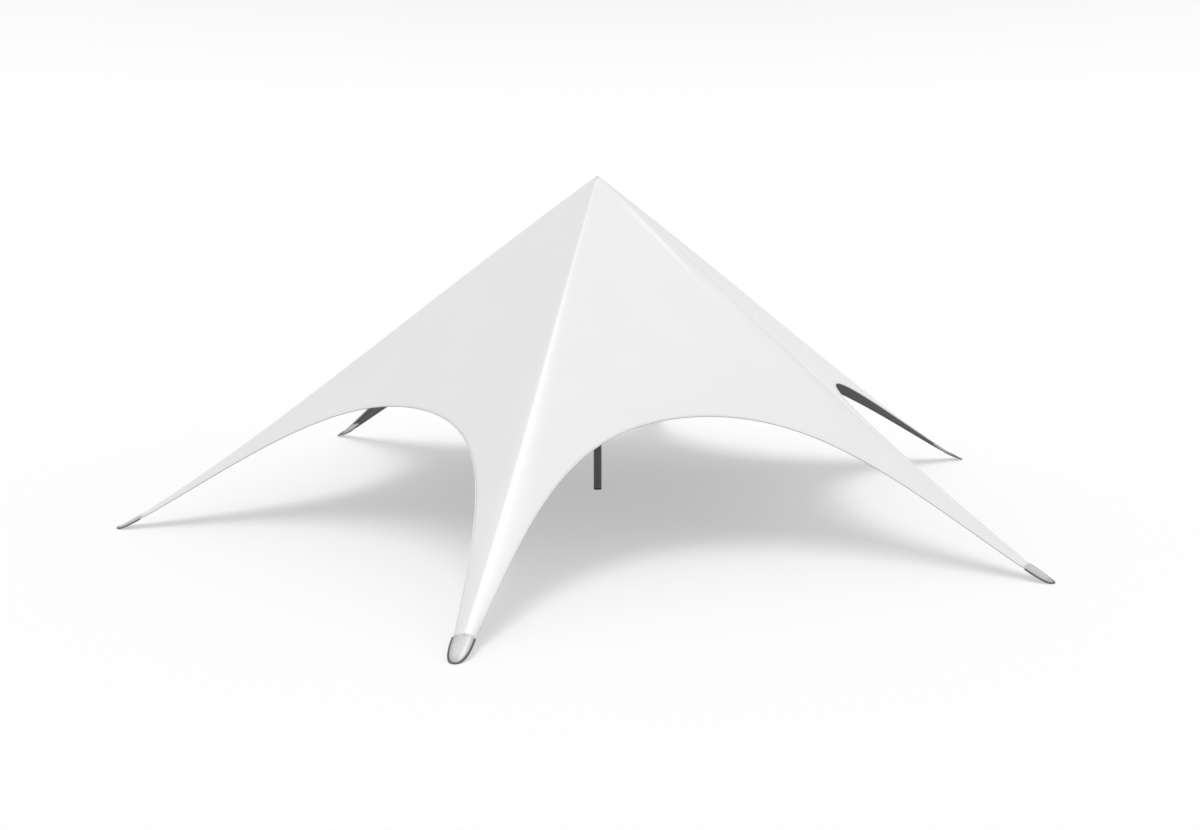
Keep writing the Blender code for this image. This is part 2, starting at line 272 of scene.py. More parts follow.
class ShaderBench(NodeBench):
    """A material that is put together node by node."""

    def __init__(self, name: str) -> None:
        """Start a material."""
        self.material = bpy.data.materials.new(name)
        self.material.use_nodes = True
        super().__init__(self.material.node_tree)
        self.shader = self.tree.nodes["Principled BSDF"]

    def surface(self, **values: Any) -> None:
        """Set the shader's sockets, each named with _ for a space."""
        for name, value in values.items():
            self.feed(self.shader.inputs[name.replace("_", " ")], value)

    def place(self) -> Wire:
        """The object's own coordinates, in metres."""
        return self.wire("ShaderNodeTexCoord", output="Object")

    def cloth_place(self, name: str) -> tuple[Wire, Wire]:
        """The two measures, in metres, that a UV map gives along and across a cloth."""
        along, across, _ = self.parts(self.wire("ShaderNodeUVMap", uv_map=name))
        return along, across

    def noise(self, place: Wire, scale: float, detail: float = 2.0) -> Wire:
        """Soft noise, about 0.5 on the whole."""
        return self.wire("ShaderNodeTexNoise", {"Vector": place, "Scale": scale, "Detail": detail})

    def spread(self, value: Wire, low: float, high: float, start: float = 0.3, end: float = 0.7) -> Wire:
        """Map a value between start and end to low and high."""
        feeds = {"Value": value, "From Min": start, "From Max": end, "To Min": low, "To Max": high}
        return self.wire("ShaderNodeMapRange", feeds)

    def blend(self, share: Scalar, first: Any, second: Any) -> Wire:
        """Mix two colours."""
        feeds = {0: share, 6: opaque(first), 7: opaque(second)}
        return self.wire("ShaderNodeMix", feeds, output=2, data_type="RGBA")

    def relief(self, height: Wire, depth: float, under: Optional[Wire] = None) -> Wire:
        """Turn a height from 0 to 1 into a normal, over an earlier relief if one is given."""
        feeds = {"Height": height, "Distance": depth}
        if under is not None:
            feeds["Normal"] = under
        return self.wire("ShaderNodeBump", feeds)


def opaque(colour: Any) -> Any:
    """A colour with its alpha, or the wire as it is."""
    return colour if isinstance(colour, Wire) else (*colour, 1)


# Finishes


@dataclass(frozen=True)
class CoatedCloth:
    """Coated tent cloth: a satin face over a plain weave, with faint waves in its gloss."""

    name: str
    colour: Colour
    roughness: float
    specular: float
    coat: float = 0.0
    coat_roughness: float = 0.4
    tone_change: float = 0.012
    thread_pitch: float = 0.0011
    thread_depth: float = 0.00005
    wave_depth: float = 0.0006

    def build(self) -> bpy.types.Material:
        """Return the material."""
        bench = ShaderBench(self.name)
        place = bench.place()
        cloud = bench.noise(place, 0.9, 3.0)
        deeper = tuple(channel * (1 - 2 * self.tone_change) for channel in self.colour)
        colour = bench.blend(bench.spread(cloud, 0, 1), deeper, self.colour)
        along, across = bench.cloth_place("cloth_metres")
        turn = 2 * math.pi / self.thread_pitch
        warp = bench.math("SINE", along * turn)
        weft = bench.math("SINE", across * turn)
        weave = warp * weft * 0.5 + 0.5
        waves = bench.relief(bench.noise(place, 1.7, 1.0), self.wave_depth)
        bench.surface(
            Base_Color=colour,
            Roughness=bench.spread(bench.noise(place, 5.0), self.roughness - 0.02, self.roughness + 0.02),
            Specular_IOR_Level=self.specular,
            Coat_Weight=self.coat,
            Coat_Roughness=self.coat_roughness,
            Normal=bench.relief(weave, self.thread_depth, waves),
        )
        return bench.material


@dataclass(frozen=True)
class BoundHem:
    """Grey coated binding with the fine ribs of its twill."""

    name: str = "grey_binding"
    colour: Colour = (0.40, 0.40, 0.405)
    rib_pitch: float = 0.0016

    def build(self) -> bpy.types.Material:
        """Return the material."""
        bench = ShaderBench(self.name)
        place = bench.place()
        x, y, z = bench.parts(place)
        ribs = bench.math("SINE", (x + y + z) * (2 * math.pi / self.rib_pitch)) * 0.5 + 0.5
        grain = bench.noise(place, 240.0, 3.0)
        darker = tuple(channel * 0.86 for channel in self.colour)
        bench.surface(
            Base_Color=bench.blend(bench.spread(grain, 0, 1), darker, self.colour),
            Roughness=0.62,
            Specular_IOR_Level=0.35,
            Normal=bench.relief(ribs, 0.00006, bench.relief(grain, 0.0001)),
        )
        return bench.material


@dataclass(frozen=True)
class WovenWebbing:
    """Dense woven webbing with slanted ribs on both sides of its middle."""

    name: str = "woven_webbing"
    colour: Colour = (0.040, 0.040, 0.043)
    rib_pitch: float = 0.0032
    slant: float = 1.1

    def build(self) -> bpy.types.Material:
        """Return the material."""
        bench = ShaderBench(self.name)
        along = bench.wire("ShaderNodeAttribute", output="Fac", attribute_name="run_metres")
        across = bench.wire("ShaderNodeAttribute", output="Fac", attribute_name="side_metres")
        turn = 2 * math.pi / self.rib_pitch
        ribs = bench.math("SINE", (along + abs(across) * self.slant) * turn) * 0.5 + 0.5
        fluff = bench.noise(bench.place(), 420.0, 3.0)
        darker = tuple(channel * 0.6 for channel in self.colour)
        bench.surface(
            Base_Color=bench.blend(ribs * 0.7 + fluff * 0.3, darker, self.colour),
            Roughness=0.85,
            Specular_IOR_Level=0.3,
            Sheen_Weight=0.15,
            Sheen_Roughness=0.5,
            Normal=bench.relief(ribs, 0.0003, bench.relief(fluff, 0.0001)),
        )
        return bench.material


@dataclass(frozen=True)
class ZincSteel:
    """Zinc-coated steel: a faint crystal pattern, satin, darker towards its rim by painted shade, and soiled
    darker at the floor.
    """

    name: str = "zinc_steel"
    light: Colour = (0.60, 0.605, 0.615)
    dark: Colour = (0.50, 0.505, 0.515)
    # colour of the painted shade towards the plate's rim and toe
    worn: Colour = (0.34, 0.34, 0.35)
    metallic: float = 0.35
    crystal_scale: float = 95.0

    def build(self) -> bpy.types.Material:
        """Return the material."""
        bench = ShaderBench(self.name)
        place = bench.place()
        feeds = {"Vector": place, "Scale": self.crystal_scale}
        crystals = bench.wire("ShaderNodeTexVoronoi", feeds, output="Color", feature="F1")
        tone, tilt, _ = bench.parts(crystals)
        clouds = bench.spread(bench.noise(place, 22.0, 4.0), 0, 1)
        _, _, height = bench.parts(place)
        soiled = bench.spread(height, 0.35, 0.0, 0.0, 0.05)
        metal = bench.blend(tone * 0.45 + clouds * 0.55, self.dark, self.light)
        # painted shade: the steel's colour turns darker towards the plate's rim and toe
        rim = bench.wire("ShaderNodeAttribute", output="Fac", attribute_name="rim_shade_mask")
        metal = bench.blend(bench.spread(rim + clouds * 0.08, 0.0, 1.0, 0.75, 1.05), metal, self.worn)
        scratches = bench.noise(bench.vector("MULTIPLY", place, (240.0, 240.0, 30.0)), 1.0, 2.0)
        bench.surface(
            Base_Color=bench.blend(soiled * clouds, metal, tuple(c * 0.6 for c in self.dark)),
            Metallic=self.metallic,
            Roughness=bench.spread(tilt * 0.4 + clouds * 0.6, 0.36, 0.52, 0.0, 1.0),
            Specular_IOR_Level=0.5,
            Normal=bench.relief(scratches, 0.00003),
        )
        return bench.material


@dataclass(frozen=True)
class PowderCoat:
    """Baked powder coating with its orange-peel surface."""

    name: str
    colour: Colour
    roughness: float
    metallic: float = 0.0

    def build(self) -> bpy.types.Material:
        """Return the material."""
        bench = ShaderBench(self.name)
        place = bench.place()
        peel = bench.noise(place, 620.0, 2.0)
        clouds = bench.noise(place, 7.0, 4.0)
        darker = tuple(channel * 0.85 for channel in self.colour)
        low, high = self.roughness - 0.04, self.roughness + 0.06
        bench.surface(
            Base_Color=bench.blend(bench.spread(clouds, 0, 1), darker, self.colour),
            Metallic=self.metallic,
            Roughness=bench.spread(clouds, low, high),
            Normal=bench.relief(peel, 0.00012),
        )
        return bench.material


@dataclass(frozen=True)
class MouldedMatt:
    """Matt rubber or plastic from a spark-eroded mould, with a little dust in patches."""

    name: str
    colour: Colour
    roughness: float
    grain_scale: float = 900.0
    dust: float = 0.25

    def build(self) -> bpy.types.Material:
        """Return the material."""
        bench = ShaderBench(self.name)
        place = bench.place()
        grain = bench.noise(place, self.grain_scale, 3.0)
        patches = bench.spread(bench.noise(place, 35.0, 4.0), 0, self.dust, 0.45, 0.75)
        pale = tuple(0.75 * channel + 0.08 for channel in self.colour)
        bench.surface(
            Base_Color=bench.blend(patches, self.colour, pale),
            Roughness=bench.spread(grain, self.roughness - 0.05, self.roughness + 0.08),
            Specular_IOR_Level=0.4,
            Normal=bench.relief(grain, 0.0001),
        )
        return bench.material


@dataclass(frozen=True)
class SewingThread:
    """Twisted polyester thread."""

    name: str
    colour: Colour

    def build(self) -> bpy.types.Material:
        """Return the material."""
        bench = ShaderBench(self.name)
        strands = bench.noise(bench.vector("MULTIPLY", bench.place(), (1.0, 1.0, 1.6)), 1500.0, 1.0)
        darker = tuple(channel * 0.8 for channel in self.colour)
        bench.surface(
            Base_Color=bench.blend(bench.spread(strands, 0, 1), darker, self.colour),
            Roughness=0.55,
            Sheen_Weight=0.1,
            Normal=bench.relief(strands, 0.0001),
        )
        return bench.material


# Meshes


def place_in_scene(name: str, mesh: bpy.types.Mesh) -> bpy.types.Object:
    """Put a mesh in the scene as an object at the origin."""
    piece = bpy.data.objects.new(name, mesh)
    bpy.context.scene.collection.objects.link(piece)
    return piece


def settled(piece: bpy.types.Object) -> bpy.types.Object:
    """Turn a piece's modifiers into plain mesh."""
    graph = bpy.context.evaluated_depsgraph_get()
    mesh = bpy.data.meshes.new_from_object(piece.evaluated_get(graph))
    piece.modifiers.clear()
    piece.data = mesh
    mesh.name = piece.name
    return piece


def mesh_from(work: bmesh.types.BMesh, name: str, recalculate: bool = True) -> bpy.types.Mesh:
    """Write worked faces to a smooth mesh, pointing outwards."""
    if recalculate:
        bmesh.ops.recalc_face_normals(work, faces=work.faces)
    mesh = bpy.data.meshes.new(name)
    work.to_mesh(mesh)
    work.free()
    mesh.shade_smooth()
    return mesh


def polylines(name: str, runs: Sequence[Run], **numbers: Sequence[float]) -> bpy.types.Mesh:
    """Open lines of points as one mesh, with the way each point's surface faces.

    Args:
        name: the mesh's name.
        runs: each line as its points with their surface normals.
        numbers: further attributes, each with a number for every point.

    Returns:
        A mesh of loose edges with the attribute facing and the further ones.
    """
    points = [point for run in runs for point, _ in run]
    normals = [normal for run in runs for _, normal in run]
    edges = []
    start = 0
    for run in runs:
        edges += [(start + i, start + i + 1) for i in range(len(run) - 1)]
        start += len(run)
    mesh = bpy.data.meshes.new(name)
    mesh.from_pydata([tuple(point) for point in points], edges, [])
    facing = mesh.attributes.new("facing", "FLOAT_VECTOR", "POINT")
    facing.data.foreach_set("vector", [number for normal in normals for number in normal])
    for label, values in numbers.items():
        mesh.attributes.new(label, "FLOAT", "POINT").data.foreach_set("value", values)
    return mesh


def turned(name: str, profile: Sequence[tuple[float, float]], sides: int = 64) -> bpy.types.Mesh:
    """Turn a closed profile of radius and height round the pole's axis.

    Args:
        name: the mesh's name.
        profile: corners in order; a profile that ends on the axis is closed by its poles.
        sides: how many faces go round.

    Returns:
        The mesh.
    """
    work = bmesh.new()
    rings = []
    for radius, height in profile:
        count = 1 if radius < 1e-6 else sides
        turns = [2 * math.pi * side / sides for side in range(count)]
        rings.append([work.verts.new((radius * math.cos(t), radius * math.sin(t), height)) for t in turns])
    pairs = list(zip(rings, rings[1:]))
    if profile[0][0] > 1e-6:
        pairs.append((rings[-1], rings[0]))
    for first, second in pairs:
        for i in range(sides):
            j = (i + 1) % sides
            corners = [first[i % len(first)], first[j % len(first)]]
            corners += [second[j % len(second)], second[i % len(second)]]
            work.faces.new(list(dict.fromkeys(corners)))
    return mesh_from(work, name)


def soften(piece: bpy.types.Object, width: float, segments: int = 2, angle: float = 30.0) -> bpy.types.Object:
    """Round a piece's sharp edges."""
    bevel = piece.modifiers.new("soft_edges", "BEVEL")
    bevel.width = width
    bevel.segments = segments
    bevel.limit_method = "ANGLE"
    bevel.angle_limit = math.radians(angle)
    bevel.harden_normals = True
    return settled(piece)


def dress(piece: bpy.types.Object, replaced: Sequence[str] = ()) -> bpy.types.Object:
    """Tell the frame what a piece is.

    Args:
        piece: the finished piece.
        replaced: CAD nodes that it stands for.

    Returns:
        The piece.
    """
    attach(piece, ROOT_BODY)
    if replaced:
        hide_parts(*replaced)
    stands_for = ", ".join(replaced) or "nothing"
    LOG.info("%s: %d faces, in place of %s", piece.name, len(piece.data.polygons), stands_for)
    return piece


def bay_turn(index: int) -> Matrix:
    """Rotation that takes a bay's own frame to its place round the pole."""
    return Matrix.Rotation(FIRST_LEG_ANGLE + LEG_STEP * (index + 0.5), 4, "Z")


def leg_turn(index: int) -> Matrix:
    """Rotation that takes a leg's own frame to its place round the pole."""
    return Matrix.Rotation(FIRST_LEG_ANGLE + LEG_STEP * index, 4, "Z")


# The tent's form


@dataclass(frozen=True)
class StarForm:
    """The stretched shape that the canopy and all that is sewn to it follow.

    Its height works on plain numbers, and on wires when the fields are a node tree's inputs.
    """

    star_radius: Scalar = 7.0
    peak_height: Scalar = 4.9
    ridge_sag: Scalar = 0.1225
    ridge_sag_power: Scalar = 2.126
    bay_sag_per_metre: Scalar = 0.0338
    rounding_at_peak: Scalar = 0.016
    rounding_growth: Scalar = 0.40
    rounding_rise_power: Scalar = 2.5
    rounding_fall_power: Scalar = 8.0
    fabric_end: Scalar = 6.70
    leg_half_width: Scalar = 0.102
    end_drop: Scalar = 0.0185
    end_power: Scalar = 3.4
    end_length: Scalar = 0.12
    arch_radius: float = 3.652
    arch_square_term: float = 1.593
    arch_fourth_term: float = 1.323

    def ridge_height(self, radius: Scalar) -> Scalar:
        """Height of a ridge line at this distance from the pole's axis."""
        share = (radius / self.star_radius) ** self.ridge_sag_power
        straight = self.peak_height * (1 - radius / self.star_radius)
        return straight - 4 * self.ridge_sag * share * (1 - share)

    def height(self, out: Scalar, across: Scalar) -> Scalar:
        """Height of the cloth's outer face in a bay.

        Args:
            out: distance along the bay's middle line.
            across: distance square to that line.

        Returns:
            The height above the floor.
        """
        near = out * SIN_HALF - abs(across) * COS_HALF
        far = out * SIN_HALF + abs(across) * COS_HALF
        ridge_radius = out / COS_HALF
        share = ridge_radius / self.star_radius
        growth = share**self.rounding_rise_power - share**self.rounding_fall_power
        rounding = self.rounding_at_peak + self.rounding_growth * growth
        side_slope = self.peak_height / self.star_radius * math.tan(LEG_STEP / 2)
        softened = math.log(2) - natural_log(1 + exponential(-2 * near / rounding))
        sag = self.bay_sag_per_metre * near * far
        side_drop = side_slope * (near - rounding * softened)
        flat_drop = self.end_drop * (abs(near) / self.leg_half_width) ** self.end_power
        flatness = exponential((out * COS_HALF + abs(across) * SIN_HALF - self.fabric_end) / self.end_length)
        level = self.ridge_height(ridge_radius) + side_slope * near - sag
        return level - side_drop + flatness * (side_drop - flat_drop)

    def leg_to_bay(self, along: float, aside: float) -> tuple[float, float]:
        """Turn a place beside a bay's first leg into the bay's out and across."""
        out = along * COS_HALF + aside * SIN_HALF
        across = aside * COS_HALF - along * SIN_HALF
        return out, across

    def leg_height(self, along: float, aside: float) -> float:
        """Height of the cloth's outer face along a leg and aside of its ridge."""
        out, across = self.leg_to_bay(along, abs(aside))
        return self.height(out, across)

    def bay_spot(self, plan: Vector, drop: float = 0.0) -> tuple[Vector, Vector]:
        """A place on the outer face in a bay, moved inwards by drop, and its normal."""
        step = 1e-3
        middle = self.height(plan.x, plan.y)
        slope_out = (self.height(plan.x + step, plan.y) - middle) / step
        slope_across = (self.height(plan.x, plan.y + step) - middle) / step
        normal = Vector((-slope_out, -slope_across, 1)).normalized()
        return Vector((plan.x, plan.y, middle)) - normal * drop, normal

    def leg_spot(self, along: float, aside: float, drop: float = 0.0) -> tuple[Vector, Vector]:
        """A place on the outer face by a ridge, moved inwards by drop, and its normal."""
        step = 1e-3
        middle = self.leg_height(along, aside)
        slope_along = (self.leg_height(along + step, aside) - middle) / step
        rise_aside = self.leg_height(along, aside + step) - self.leg_height(along, aside - step)
        slope_aside = rise_aside / (2 * step)
        normal = Vector((-slope_along, -slope_aside, 1)).normalized()
        return Vector((along, aside, middle)) - normal * drop, normal

    def arch_point(self, share: float) -> Vector:
        """Plan point on the arched edge, for share from -1 at one foot to 1 at the next."""
        end_out, end_across = self.leg_to_bay(self.fabric_end, self.leg_half_width)
        sixth = end_out - self.arch_radius - self.arch_square_term - self.arch_fourth_term
        out = self.arch_radius + self.arch_square_term * share**2
        out += self.arch_fourth_term * share**4 + sixth * share**6
        return Vector((out, -end_across * share))

    def arch_normal(self, share: float) -> Vector:
        """Unit plan vector square to the arched edge, away from the pole."""
        step = 1e-4
        along = self.arch_point(share + step) - self.arch_point(share - step)
        return Vector((along.y, -along.x)).normalized()

    def edge_point(self, share: float, inset: float) -> Vector:
        """Plan point this far inside the arched edge."""
        return self.arch_point(share) - self.arch_normal(share) * inset


@dataclass(frozen=True)
class TensionFold:
    """A shallow crease that the cloth's pull raises, straight on the plan from the peak outwards."""

    heading: float
    start: float
    end: float
    height: float
    width: float
    fade_power: float = 0.7

    def lift(self, place: Vector) -> float:
        """How far the fold raises the cloth at a place on the plan."""
        along = place.x * math.cos(self.heading) + place.y * math.sin(self.heading)
        aside = place.y * math.cos(self.heading) - place.x * math.sin(self.heading)
        if not self.start < along < self.end:
            return 0.0
        share = (along - self.start) / (self.end - self.start)
        fade = math.sin(math.pi * share**self.fade_power) ** 2
        return self.height * fade * math.exp(-((aside / self.width) ** 2))


# Sweeps and seams


@dataclass
class RoundSweep:
    """A round body along lines, in one finish above and another below."""

    radius: float
    sides: int = 12
    upper_from: float = 0.35

    def make(
        self, name: str, runs: Sequence[Run], upper: bpy.types.Material, lower: bpy.types.Material
    ) -> bpy.types.Object:
        """Sweep the lines.

        Args:
            name: the piece's name.
            runs: the lines.
            upper: finish of the faces that look up.
            lower: finish of the rest.

        Returns:
            The piece.
        """
        bench = GeometryBench(name + "_sweep")
        radius = bench.size("Radius", self.radius)
        sides = bench.size("Sides", self.sides, "Int")
        upper_from = bench.size("Upper From", self.upper_from)
        above = bench.size("Upper Finish", upper, "Material")
        below = bench.size("Lower Finish", lower, "Material")
        line = bench.wire("GeometryNodeMeshToCurve", {"Mesh": bench.shape})
        section = bench.wire("GeometryNodeCurvePrimitiveCircle", {"Resolution": sides, "Radius": radius})
        feeds = {"Curve": line, "Profile Curve": section, "Fill Caps": True}
        body = bench.wire("GeometryNodeCurveToMesh", feeds)
        _, _, facing_up = bench.parts(bench.wire("GeometryNodeInputNormal"))
        looks_up = bench.math("GREATER_THAN", facing_up, upper_from)
        bench.close(body, (below, None), (above, looks_up))
        return bench.make(name, polylines(name + "_line", runs))


@dataclass
class StitchRow:
    """Rows of lockstitch: short threads lying along a seam, half sunk in the cloth."""

    pitch: float = 0.016
    length: float = 0.0115
    thickness: float = 0.0014

    def make(self, name: str, runs: Sequence[Run], thread: bpy.types.Material) -> bpy.types.Object:
        """Sew the rows.

        Args:
            name: the piece's name.
            runs: the seams as points with the cloth's normals.
            thread: the thread's finish.

        Returns:
            The piece.
        """
        bench = GeometryBench(name + "_rows")
        pitch = bench.size("Pitch", self.pitch)
        length = bench.size("Stitch Length", self.length)
        thickness = bench.size("Thread Thickness", self.thickness)
        finish = bench.size("Thread", thread, "Material")
        line = bench.wire("GeometryNodeMeshToCurve", {"Mesh": bench.shape})
        spaced = bench.wire("GeometryNodeResampleCurve", {"Curve": line, "Length": pitch}, mode="LENGTH")
        feeds = {"Segments": 4, "Rings": 4, "Radius": 0.5}
        bead = bench.wire("GeometryNodeMeshUVSphere", feeds)
        size = bench.joined(length, thickness, thickness)
        stitch = bench.wire("GeometryNodeTransform", {"Geometry": bead, "Scale": size})
        along = bench.wire("GeometryNodeInputTangent")
        facing = bench.attribute("facing", "FLOAT_VECTOR")
        feeds = {"Primary Axis": along, "Secondary Axis": facing}
        turn = bench.wire("FunctionNodeAxesToRotation", feeds, primary_axis="X", secondary_axis="Z")
        feeds = {"Points": spaced, "Instance": stitch, "Rotation": turn}
        bench.close(bench.wire("GeometryNodeInstanceOnPoints", feeds), (finish, None))
        return bench.make(name, polylines(name + "_line", runs))


# The tent's pieces


@dataclass
class Canopy:
    """The one stretched cloth, white outside and dark grey inside."""

    form: StarForm
    folds: tuple[TensionFold, ...] = (
        TensionFold(math.radians(-34.0), 0.25, 2.9, 0.0075, 0.050),
        TensionFold(math.radians(22.0), 0.30, 2.3, 0.0055, 0.050),
        TensionFold(math.radians(99.0), 0.30, 2.6, 0.0060, 0.055),
        TensionFold(math.radians(161.0), 0.30, 2.2, 0.0050, 0.050),
    )
    leg_columns: int = 9
    arch_columns: int = 112
    rings: int = 60
    ring_crowding: float = 1.25
    edge_inset: float = 0.004
    thickness: float = 0.0025
    flat_size: tuple[float, float] = (14.2, 16.4)
    flat_area: float = 79.0

    def outline(self) -> list[tuple[Vector, int]]:
        """Plan points once round the star's edge, each with its bay."""
        ridge = Vector(self.form.leg_to_bay(self.form.fabric_end, 0))
        shares = [2 * i / self.arch_columns - 1 for i in range(self.arch_columns + 1)]
        arch = [self.form.edge_point(share, self.edge_inset) for share in shares]
        first = [ridge.lerp(arch[0], i / self.leg_columns) for i in range(self.leg_columns)]
        last = [Vector((p.x, -p.y)) for p in reversed(first)]
        bay = [*first, *arch, *last[:-1]]
        return [(point, index) for index in range(len(BAY_NAMES)) for point in bay]

    def flat_plan(self) -> bpy.types.Mesh:
        """The star laid flat, with each point's place in its bay for the tree that raises it."""
        work = bmesh.new()
        out_layer = work.verts.layers.float.new("out")
        across_layer = work.verts.layers.float.new("across")
        lift_layer = work.verts.layers.float.new("lift")
        map_layer = work.loops.layers.uv.new("cloth_metres")
        turns = [bay_turn(i) for i in range(len(BAY_NAMES))]
        outline = self.outline()
        tip = work.verts.new((0, 0, 0))
        rings = []
        for ring in range(1, self.rings + 1):
            reach = 1 - (1 - ring / self.rings) ** self.ring_crowding
            row = []
            for point, index in outline:
                place = turns[index] @ (point * reach).to_3d()
                vert = work.verts.new(place)
                vert[out_layer] = point.x * reach
                vert[across_layer] = point.y * reach
                vert[lift_layer] = sum(fold.lift(place) for fold in self.folds)
                row.append(vert)
            rings.append(row)
        count = len(outline)
        for i in range(count):
            j = (i + 1) % count
            work.faces.new((tip, rings[0][i], rings[0][j]))
            for inside, outside in zip(rings, rings[1:]):
                work.faces.new((inside[i], outside[i], outside[j], inside[j]))
        for face in work.faces:
            for loop in face.loops:
                loop[map_layer].uv = loop.vert.co.xy
        return mesh_from(work, "canopy_plan", recalculate=False)

    def build(self, outer: bpy.types.Material, inner: bpy.types.Material) -> bpy.types.Object:
        """Raise the cloth to its stretched form and give it its two faces.

        Args:
            outer: the white face.
            inner: the dark face.

        Returns:
            The canopy.
        """
        bench = GeometryBench("raise_cloth")
        sizes = {}
        for item in fields(StarForm):
            if item.type in ("Scalar", Scalar):
                label = item.name.replace("_", " ").title()
                sizes[item.name] = bench.size(label, getattr(self.form, item.name))
        raised_form = StarForm(**sizes)
        finish = bench.size("Outer Finish", outer, "Material")
        height = raised_form.height(bench.attribute("out"), bench.attribute("across"))
        x, y, _ = bench.parts(bench.wire("GeometryNodeInputPosition"))
        place = bench.joined(x, y, height + bench.attribute("lift"))
        feeds = {"Geometry": bench.shape, "Position": place}
        bench.close(bench.wire("GeometryNodeSetPosition", feeds), (finish, None))
        piece = bench.make("canopy", self.flat_plan())
        piece.data.materials.append(inner)
        solid = piece.modifiers.new("thickness", "SOLIDIFY")
        solid.thickness = self.thickness
        solid.offset = -1
        solid.material_offset = 1
        solid.material_offset_rim = 1
        return settled(piece)


@dataclass
class ArchHems:
    """Rope-filled hems on the six arched edges, with the stitched pocket behind each."""

    form: StarForm
    radius: float = 0.0075
    stations: int = 150
    cloth_drop: float = 0.004
    pocket_width: float = 0.038
    pocket_drop: float = 0.0027
    pocket_thickness: float = 0.0012
    pocket_columns: int = 3
    stitch_inset: float = 0.034

    def shares(self) -> list[float]:
        """Even places along an arched edge."""
        return [2 * i / self.stations - 1 for i in range(self.stations + 1)]

    def line(self, bay: int, inset: float, drop: float) -> Run:
        """Points this far inside a bay's edge and below its outer face."""
        turn = bay_turn(bay)
        run = []
        for share in self.shares():
            place, normal = self.form.bay_spot(self.form.edge_point(share, inset), drop)
            run.append((turn @ place, turn.to_3x3() @ normal))
        return run

    def build_hem(self, bay: int, upper: bpy.types.Material, lower: bpy.types.Material) -> bpy.types.Object:
        """The hem itself, in the cloth's white above and in its grey binding outside."""
        edge = self.line(bay, self.radius, self.cloth_drop)
        turn = bay_turn(bay)
        run = []
        for share, (place, normal) in zip(self.shares(), edge):
            plan = turn @ self.form.arch_point(share).to_3d()
            run.append((Vector((plan.x, plan.y, place.z)), normal))
        return RoundSweep(self.radius).make("arch_hem_" + BAY_NAMES[bay], [run], upper, lower)

    def build_pocket(self, bay: int, finish: bpy.types.Material) -> bpy.types.Object:
        """The folded-over cloth on the inside, along the hem."""
        work = bmesh.new()
        rows = []
        for column in range(self.pocket_columns + 1):
            inset = self.radius + (self.pocket_width - self.radius) * column / self.pocket_columns
            line = self.line(bay, inset, self.pocket_drop)
            rows.append([work.verts.new(place) for place, _ in line])
        for first, second in zip(rows, rows[1:]):
            for i in range(len(first) - 1):
                work.faces.new((first[i], first[i + 1], second[i + 1], second[i]))
        mesh = mesh_from(work, "hem_pocket_" + BAY_NAMES[bay], recalculate=False)
        if mesh.polygons[0].normal.z < 0:
            mesh.flip_normals()
        mesh.materials.append(finish)
        piece = place_in_scene(mesh.name, mesh)
        solid = piece.modifiers.new("thickness", "SOLIDIFY")
        solid.thickness = self.pocket_thickness
        solid.offset = -1
        return settled(piece)

    def build_stitches(self, thread: bpy.types.Material) -> bpy.types.Object:
        """One row of stitches on the outer face of every bay."""
        runs = [self.line(bay, self.stitch_inset, 0.0) for bay in range(len(BAY_NAMES))]
        return StitchRow().make("hem_stitches", runs, thread)


